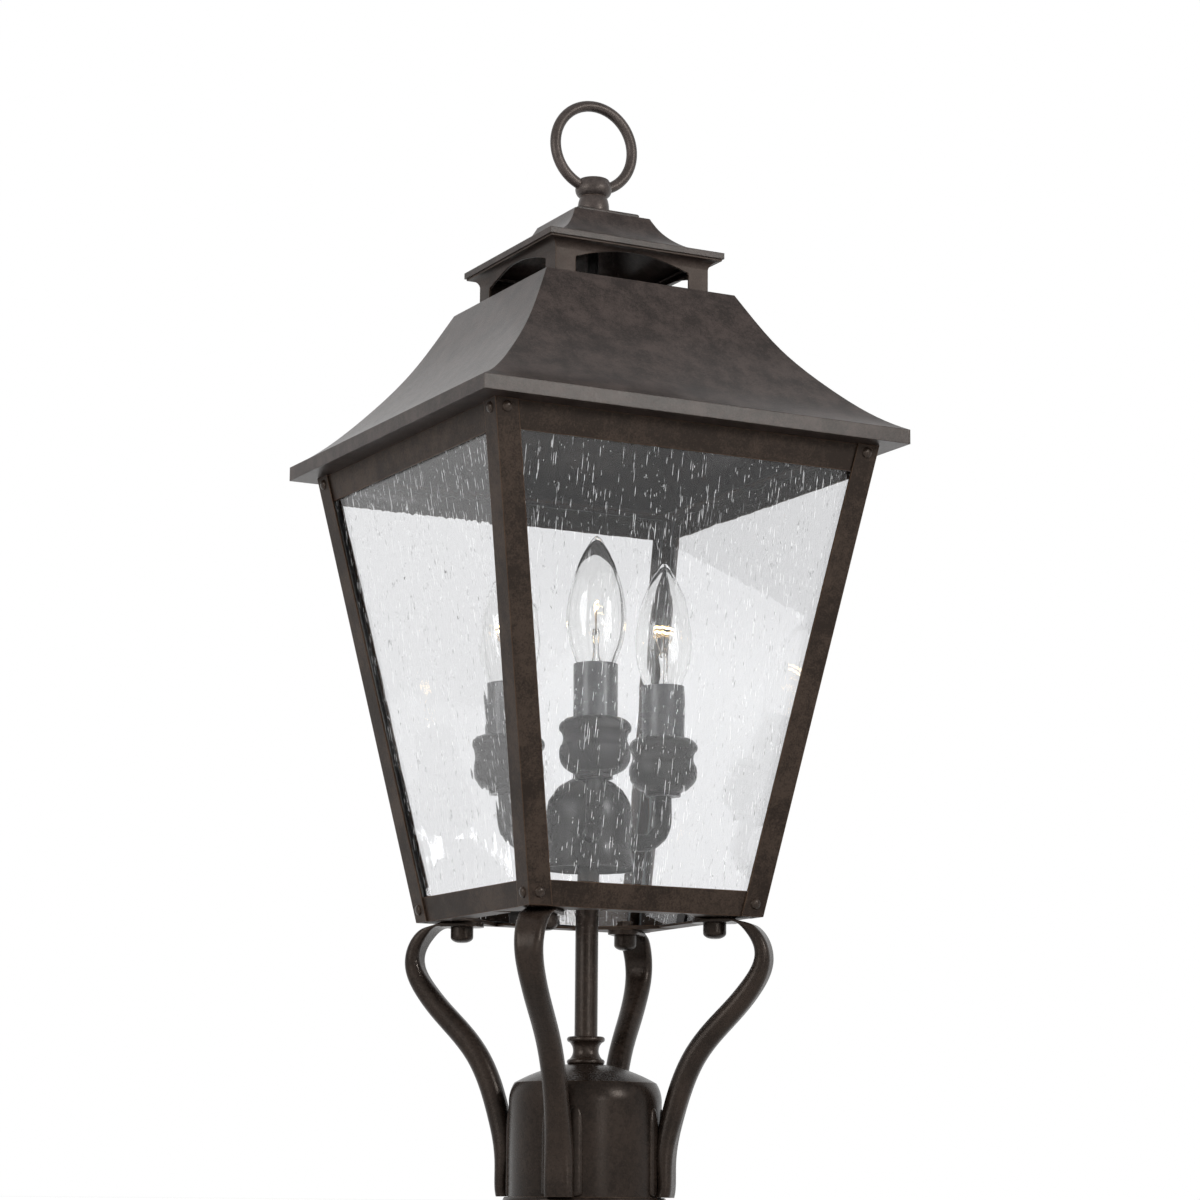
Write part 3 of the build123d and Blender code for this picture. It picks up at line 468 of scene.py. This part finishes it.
rivet_all = step(rivet_tree, "GeometryNodeInstanceOnPoints", Points=rivet_in["Geometry"],
                 Instance=rivet_dome[0], Rotation=rivet_turn[0], Scale=rivet_size[0])
finish_tree(rivet_tree, rivet_all[0], rivet_out, rivet_bronze)
rivets = grow("Rivets", rivet_places, rivet_tree, rivet_fullness,
              {"facing": rivet_facings, "size": rivet_sizes})
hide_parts("frame_rivets")

# ---------------------------------------------------------------- glass panes
# Each side has one pane of clear seeded glass behind the rails. It is drawn in
# fine upright waves, and its edges are cut, ground dull and a little darker.

glass_index = 1.45
narrow_share, broad_share = 0.35, 1.5
broad_coarseness = 0.35
pane_low, pane_high = 154.0, 403.1
pane_front, pane_thick, pane_side = 2.7, 3.0, 9.2
arris = 0.4 * mm


def pass_light(tree, shader, tint):
    """Let the light on its way to other pieces go straight through, tinted."""
    light_path = tree.nodes.new("ShaderNodeLightPath").outputs
    passing = tree.nodes.new("ShaderNodeBsdfTransparent")
    passing.inputs["Color"].default_value = (*tint, 1)
    lighting = math_node(tree, "MAXIMUM", light_path["Is Shadow Ray"],
                         light_path["Is Diffuse Ray"])
    mix_surface(tree, lighting, shader, passing)


def clear_glass(name, tint, waves=0.0, wave_scale=300.0, stretch=(1, 1, 1)):
    """Clear glass that lets the lamps' light through to what stands behind it."""
    made, tree, shader = new_material(name)
    set_inputs(tree, shader, {"Base Color": (*tint, 1), "Roughness": 0.0, "IOR": glass_index,
                              "Transmission Weight": 1.0})
    if waves:
        narrow = noise(tree, wave_scale, 0.0, stretch)
        broad = noise(tree, wave_scale * broad_coarseness, 0.0, stretch)
        relief = math_node(tree, "ADD", math_node(tree, "MULTIPLY", narrow, narrow_share),
                           math_node(tree, "MULTIPLY", broad, broad_share))
        bend = tree.nodes.new("ShaderNodeBump")
        set_inputs(tree, bend, {"Strength": 1.0, "Distance": waves, "Height": relief})
        tree.links.new(bend.outputs["Normal"], shader.inputs["Normal"])
    pass_light(tree, shader, tint)
    return made


def save_shape(shape, name, materials, body, replaced):
    """Keep a mesh as a piece of the lantern."""
    bmesh.ops.recalc_face_normals(shape, faces=shape.faces)
    mesh = bpy.data.meshes.new(name)
    shape.to_mesh(mesh)
    shape.free()
    for material in materials:
        mesh.materials.append(material)
    piece = bpy.data.objects.new(name, mesh)
    scene.collection.objects.link(piece)
    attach(piece, body)
    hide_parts(replaced)


pane_glass = clear_glass("Seeded_Glass", (0.892, 0.895, 0.903), waves=0.00008, wave_scale=230.0,
                         stretch=(1, 1, 0.10))
pane_edge, edge_tree, edge_shader = new_material("Ground_Edge")
edge_tone = tone_ramp(edge_tree, noise(edge_tree, 700.0), (0.035, 0.038, 0.038), (0.20, 0.21, 0.21))
set_inputs(edge_tree, edge_shader, {"Base Color": edge_tone, "Roughness": 0.55})

for n in sides:
    shape = bmesh.new()
    corners = []
    for depth in (pane_front, pane_front + pane_thick):
        for z, sign in ((pane_low, -1), (pane_low, 1), (pane_high, 1), (pane_high, -1)):
            half = cage_half_at(z)
            corners.append(shape.verts.new(turned((sign * (half - pane_side) * mm,
                                                   (depth - half) * mm, z * mm), n - 1)))
    shape.faces.new(corners[:4])
    shape.faces.new(corners[7:3:-1])
    for first in range(4):
        second = (first + 1) % 4
        side_face = shape.faces.new((corners[second], corners[first], corners[first + 4],
                                     corners[second + 4]))
        side_face.material_index = 1
    bmesh.ops.bevel(shape, geom=list(shape.edges), offset=arris, segments=1, affect="EDGES",
                    material=1)
    save_shape(shape, f"Pane_{n}", [pane_glass, pane_edge], "lantern",
               f"glass_pane_{n}")

# ---------------------------------------------------------------- seeds
# The glass is full of seeds, small air bubbles that were drawn out along the
# pane. Most are fine dots; some are streaks a few millimetres long.

seed_sizes = {"Density": 52000.0, "Girth": 0.00013, "Length": 0.0055}
seed_extra_density = 400
seed_rarity = 3.4
seed_slimmest = 0.55
seed_margin = 2.0
# Seed colour is painted light: dark marks are painted shade, and white glowing marks are painted
# glints.
seed_painted_shade, seed_painted_glint = (0.06, 0.06, 0.06), (1.0, 1.0, 1.0)
seed_painted_shade_at, seed_painted_glint_at = 0.34, 0.49
seed_glint_glow = 0.52

# The seeds glow though they are no lamp: painted glints, and painted shade where they are dark.
seed_skin, skin_tree, seed_shader = new_material("Seed_Bubble")
seed_painted_light_tone = tone_ramp(skin_tree, noise(skin_tree, 260.0, 1.0), seed_painted_shade, seed_painted_glint,
                      seed_painted_shade_at, seed_painted_glint_at)
set_inputs(skin_tree, seed_shader, {"Base Color": seed_painted_light_tone, "Roughness": 0.25,
                                    "Emission Color": seed_painted_light_tone, "Emission Strength": seed_glint_glow})
pass_light(skin_tree, seed_shader, (1, 1, 1))


def random_number(tree, low, high, seed):
    """A number between two for each point, the same in every run."""
    return step(tree, "FunctionNodeRandomValue", {"data_type": "FLOAT"}, n2=low, n3=high,
                Seed=seed)[1]


seed_tree, seed_in, seed_out = start_tree("Seeds", seed_sizes)
seed_points = step(seed_tree, "GeometryNodeDistributePointsOnFaces", Mesh=seed_in["Geometry"],
                   Density=seed_in["Density"], Seed=7)
seed_ball = step(seed_tree, "GeometryNodeMeshUVSphere", Segments=6, Rings=4, Radius=1.0)
seed_ball = step(seed_tree, "GeometryNodeSetShadeSmooth", Geometry=seed_ball["Mesh"])
seed_steep = math_node(seed_tree, "POWER", random_number(seed_tree, 0.0, 1.0, 3), seed_rarity)
seed_long = math_node(seed_tree, "MULTIPLY", seed_steep, seed_in["Length"])
seed_wide = math_node(seed_tree, "MULTIPLY", random_number(seed_tree, seed_slimmest, 1.0, 5),
                      seed_in["Girth"])
seed_tall = math_node(seed_tree, "ADD", seed_long, seed_wide)
seed_size = step(seed_tree, "ShaderNodeCombineXYZ", X=seed_wide, Y=seed_wide, Z=seed_tall)
seed_turn = step(seed_tree, "FunctionNodeAlignRotationToVector", {"axis": "Z"},
                 Vector=carried(seed_tree, "up"))
seed_all = step(seed_tree, "GeometryNodeInstanceOnPoints", Points=seed_points["Points"],
                Instance=seed_ball[0], Rotation=seed_turn[0], Scale=seed_size[0])
finish_tree(seed_tree, seed_all[0], seed_out, seed_skin)
sheet_low, sheet_high = pane_low + seed_margin, pane_high - seed_margin
for n in sides:
    sheet_corners = []
    for z, sign in ((sheet_low, -1), (sheet_low, 1), (sheet_high, 1), (sheet_high, -1)):
        half = cage_half_at(z)
        sheet_corners.append(turned((sign * (half - pane_side - seed_margin) * mm,
                                     (pane_front + 0.5 * pane_thick - half) * mm, z * mm), n - 1))
    density = seed_sizes["Density"] + seed_extra_density * n
    grow(f"Seeds_{n}", sheet_corners, seed_tree, {**seed_sizes, "Density": density},
         {"up": [turned((0, -cage_lean, 1), n - 1)] * 4}, faces=[(0, 1, 2, 3)])

# ---------------------------------------------------------------- candle cluster
# A bell-shaped cup on the stem gathers three bent tube arms. Each arm ends in a
# turned dish that holds a candle sleeve over its lamp socket.

cluster_bronze = bronze("Bronze_Cluster", (0.008, 0.007, 0.0068), (0.022, 0.0195, 0.0185),
                        (0.08, 0.07, 0.062), shine=0.28, grain=0.05, contrast=0.5, index=1.26,
                        sheen=(1, 1, 1))
sleeve_bronze = bronze("Bronze_Sleeves", (0.030, 0.030, 0.031), (0.068, 0.068, 0.070),
                       (0.10, 0.10, 0.10), shine=0.26, grain=0.03, contrast=0.5, index=1.40,
                       sheen=(1, 1, 1))
dress(cluster_bronze, "wiring_cup", "cup_top_nut", "cup_under_nut")
for n in candles:
    dress(cluster_bronze, f"candle_arm_{n}", f"candle_dish_{n}")
    dress(sleeve_bronze, f"candle_sleeve_{n}")
dress(blackened, "lamp_sockets")

# ---------------------------------------------------------------- candle lamps
# Three clear candle lamps with brass screw bases. The envelope is thin blown glass
# with a solid drawn tip; the wire filament hangs above a pinched glass mount.

bulb_glass = clear_glass("Bulb_Glass", (0.965, 0.965, 0.960))
brass = bronze("Lamp_Brass", (0.35, 0.24, 0.09), (0.62, 0.47, 0.22), (0.70, 0.55, 0.30),
               shine=0.25, edge_wear_and_highlight=0.1)
lead_wire = bronze("Lead_Wire", (0.30, 0.26, 0.22), (0.55, 0.50, 0.44), (0.5, 0.45, 0.4),
                   shine=0.3, edge_wear_and_highlight=0.0)
for metal in (brass, lead_wire):
    metal.node_tree.nodes["Principled BSDF"].inputs["Metallic"].default_value = 1.0
glowing, glow_tree, glow_shader = new_material("Glowing_Wire")
glow_tone = tone_ramp(glow_tree, noise(glow_tree, 800.0, 1.0), (1.0, 0.55, 0.16), (1.0, 0.86, 0.52))
set_inputs(glow_tree, glow_shader, {"Base Color": (0.9, 0.6, 0.25, 1),
                                    "Emission Color": glow_tone, "Emission Strength": 11.0})

# Half sections in millimetres, as radius and height.
bulb_outside = ((5.8, 271), (7.2, 276), (9.8, 283), (11.9, 288.5), (14.2, 295), (15.7, 303),
                (16.0, 311), (14.8, 321), (12.6, 330), (9.7, 338.5), (6.4, 345.5), (3.4, 350.4),
                (1.5, 353.0), (0, 354.0))
bulb_inside = ((0, 351.2), (1.8, 349.8), (4.9, 345.7), (8.7, 338.8), (11.9, 330.2), (14.2, 321.0),
               (15.3, 311), (15.0, 303.2), (13.5, 295.3), (11.2, 289), (9.1, 283.4), (6.5, 276.4),
               (5.1, 271))
mount_outside = ((0, 303.5), (1.6, 303.0), (2.3, 301.0), (2.0, 298.0), (1.7, 294.0), (2.0, 289.0),
                 (3.4, 284.0), (4.8, 279.0), (4.8, 277.5), (0, 277.5))

# Wires in millimetres: how far out and how high. A filament's points have instead
# how far out, and what share of its bow and of its sideways bend they take.
lead_line = ((1.0, 300), (1.6, 304), (4.6, 309), (5.9, 313), (6.0, 316.5))
hanger_line = ((0, 301), (0.2, 308), (0.0, 317.6))
filament_line = ((-6.2, 0, 0), (-4.2, 1, 1), (-2.0, 0.4, -1), (0, 1.4, 1), (2.0, 0.4, -1),
                 (4.2, 1, 1), (6.2, 0, 0))
filaments = ((314.0, 0.6, 0.5), (316.6, 0.8, -0.5))
lead_radius, hanger_radius, filament_radius = 0.28, 0.16, 0.52
lead_slot, glow_slot = 1, 2
candle_circle = 49.0
first_candle, candle_step = -114, 120


def smooth_line(points, divisions=4):
    """Points of a smooth line through the given ones, in the half section."""
    line = []
    padded = [points[0], *points, points[-1]]
    for a, b, c, d in zip(padded, padded[1:], padded[2:], padded[3:]):
        for i in range(divisions):
            t = i / divisions
            line.append(tuple(0.5 * (2 * b[k] + (c[k] - a[k]) * t
                                     + (2 * a[k] - 5 * b[k] + 4 * c[k] - d[k]) * t * t
                                     + (3 * b[k] - a[k] - 3 * c[k] + d[k]) * t ** 3)
                              for k in (0, 1)))
    return line + [points[-1]]


def lathe(shape, profile, centre, closed, segments=48):
    """Turn a half section round a candle's axis, in millimetres."""
    rings = []
    for radius, z in profile:
        if radius < 0.001:
            rings.append([shape.verts.new((centre[0] * mm, centre[1] * mm, z * mm))])
            continue
        ring = []
        for i in range(segments):
            a = 2 * math.pi * i / segments
            ring.append(shape.verts.new(((centre[0] + radius * math.cos(a)) * mm,
                                         (centre[1] + radius * math.sin(a)) * mm, z * mm)))
        rings.append(ring)
    pairs = list(zip(rings, rings[1:]))
    if closed:
        pairs.append((rings[-1], rings[0]))
    for low_ring, high_ring in pairs:
        for i in range(segments):
            j = (i + 1) % segments
            face = [low_ring[i % len(low_ring)], low_ring[j % len(low_ring)],
                    high_ring[j % len(high_ring)], high_ring[i % len(high_ring)]]
            face = list(dict.fromkeys(face))
            if len(face) > 2:
                shape.faces.new(face).smooth = True


def wire(shape, points, radius, material_index, around=8):
    """A round wire along some points, in millimetres."""
    rings = []
    for i, point in enumerate(points):
        ahead = Vector(points[min(i + 1, len(points) - 1)]) - Vector(points[max(i - 1, 0)])
        turn = ahead.to_track_quat("Z", "Y").to_matrix()
        ring = []
        for k in range(around):
            a = 2 * math.pi * k / around
            rim = Vector((radius * math.cos(a), radius * math.sin(a), 0))
            ring.append(shape.verts.new((Vector(point) + turn @ rim) * mm))
        rings.append(ring)
    for low_ring, high_ring in zip(rings, rings[1:]):
        for k in range(around):
            j = (k + 1) % around
            face = shape.faces.new((low_ring[k], low_ring[j], high_ring[j], high_ring[k]))
            face.smooth = True
            face.material_index = material_index
    for ring, order in ((rings[0], -1), (rings[-1], 1)):
        shape.faces.new(ring[::order]).material_index = material_index


def inside_point(axis, across, reach, z, aside=0.0):
    """A point in a lamp: out along the wires, up, and to one side."""
    return axis + across * reach + across.cross(Vector((0, 0, 1))) * aside + Vector((0, 0, z))


for n in candles:
    dress(brass, f"bulb_{n}_base")
    angle = math.radians(first_candle + candle_step * (n - 1))
    across = Vector((math.cos(angle), math.sin(angle), 0))
    centre = (candle_circle * math.cos(angle), candle_circle * math.sin(angle))
    axis = Vector((centre[0], centre[1], 0))
    envelope = bmesh.new()
    lathe(envelope, smooth_line(bulb_outside) + smooth_line(bulb_inside), centre, closed=True)
    save_shape(envelope, f"Bulb_{n}", [bulb_glass], f"bulb_{n}", f"bulb_{n}_glass")
    inner = bmesh.new()
    lathe(inner, mount_outside, centre, closed=False, segments=24)
    for sign in (-1, 1):
        wire(inner, [inside_point(axis, across, sign * reach, z) for reach, z in lead_line],
             lead_radius, lead_slot)
    wire(inner, [inside_point(axis, across, reach, z) for reach, z in hanger_line],
         hanger_radius, lead_slot)
    for z, bow, aside in filaments:
        wire(inner, [inside_point(axis, across, reach, z + bow_share * bow, side_share * aside)
                     for reach, bow_share, side_share in filament_line],
             filament_radius, glow_slot)
    save_shape(inner, f"Bulb_{n}_Inside", [bulb_glass, lead_wire, glowing], f"bulb_{n}",
               f"bulb_{n}_filament")

# ---------------------------------------------------------------- hood
# The hood is pressed from one sheet: four concave faces meet at the hips, and the
# eave turns down and in. The vented gallery and the small cap stand on it.

roof_bronze = bronze("Bronze_Roof", (0.0200, 0.0140, 0.0122), (0.0600, 0.0440, 0.0390),
                     (0.105, 0.088, 0.076), shine=0.32, grain=0.25, edge_wear_and_highlight=0.35,
                     mottle_scale=1300.0, cloud_scale=75.0, contrast=1.2, patchy=0.03,
                     index=1.28, sheen=(1, 0.97, 0.92))
# The gallery's paint is a darker, rougher copy of the roof's; its darker colour is painted shade.
gallery_shaded_bronze = bronze("Bronze_Gallery", (0.0180, 0.0128, 0.0108), (0.0520, 0.0385, 0.0330),
                        bronze_edge, shine=0.42, index=1.28)
dress(roof_bronze, "hood", "cap")
dress(gallery_shaded_bronze, "vent_gallery")
dress(blackened, "cap_crossbar", "cap_bolt")

# ---------------------------------------------------------------- finial
# A turned knob screws down the cap, and a ring of round bar passes through it.
# Both are painted a little paler than the roof.

finial_bronze = bronze("Bronze_Finial", (0.024, 0.019, 0.018), (0.070, 0.057, 0.053),
                       bronze_edge, shine=0.36, index=1.40)
dress(finial_bronze, "finial_knob", "finial_ring")
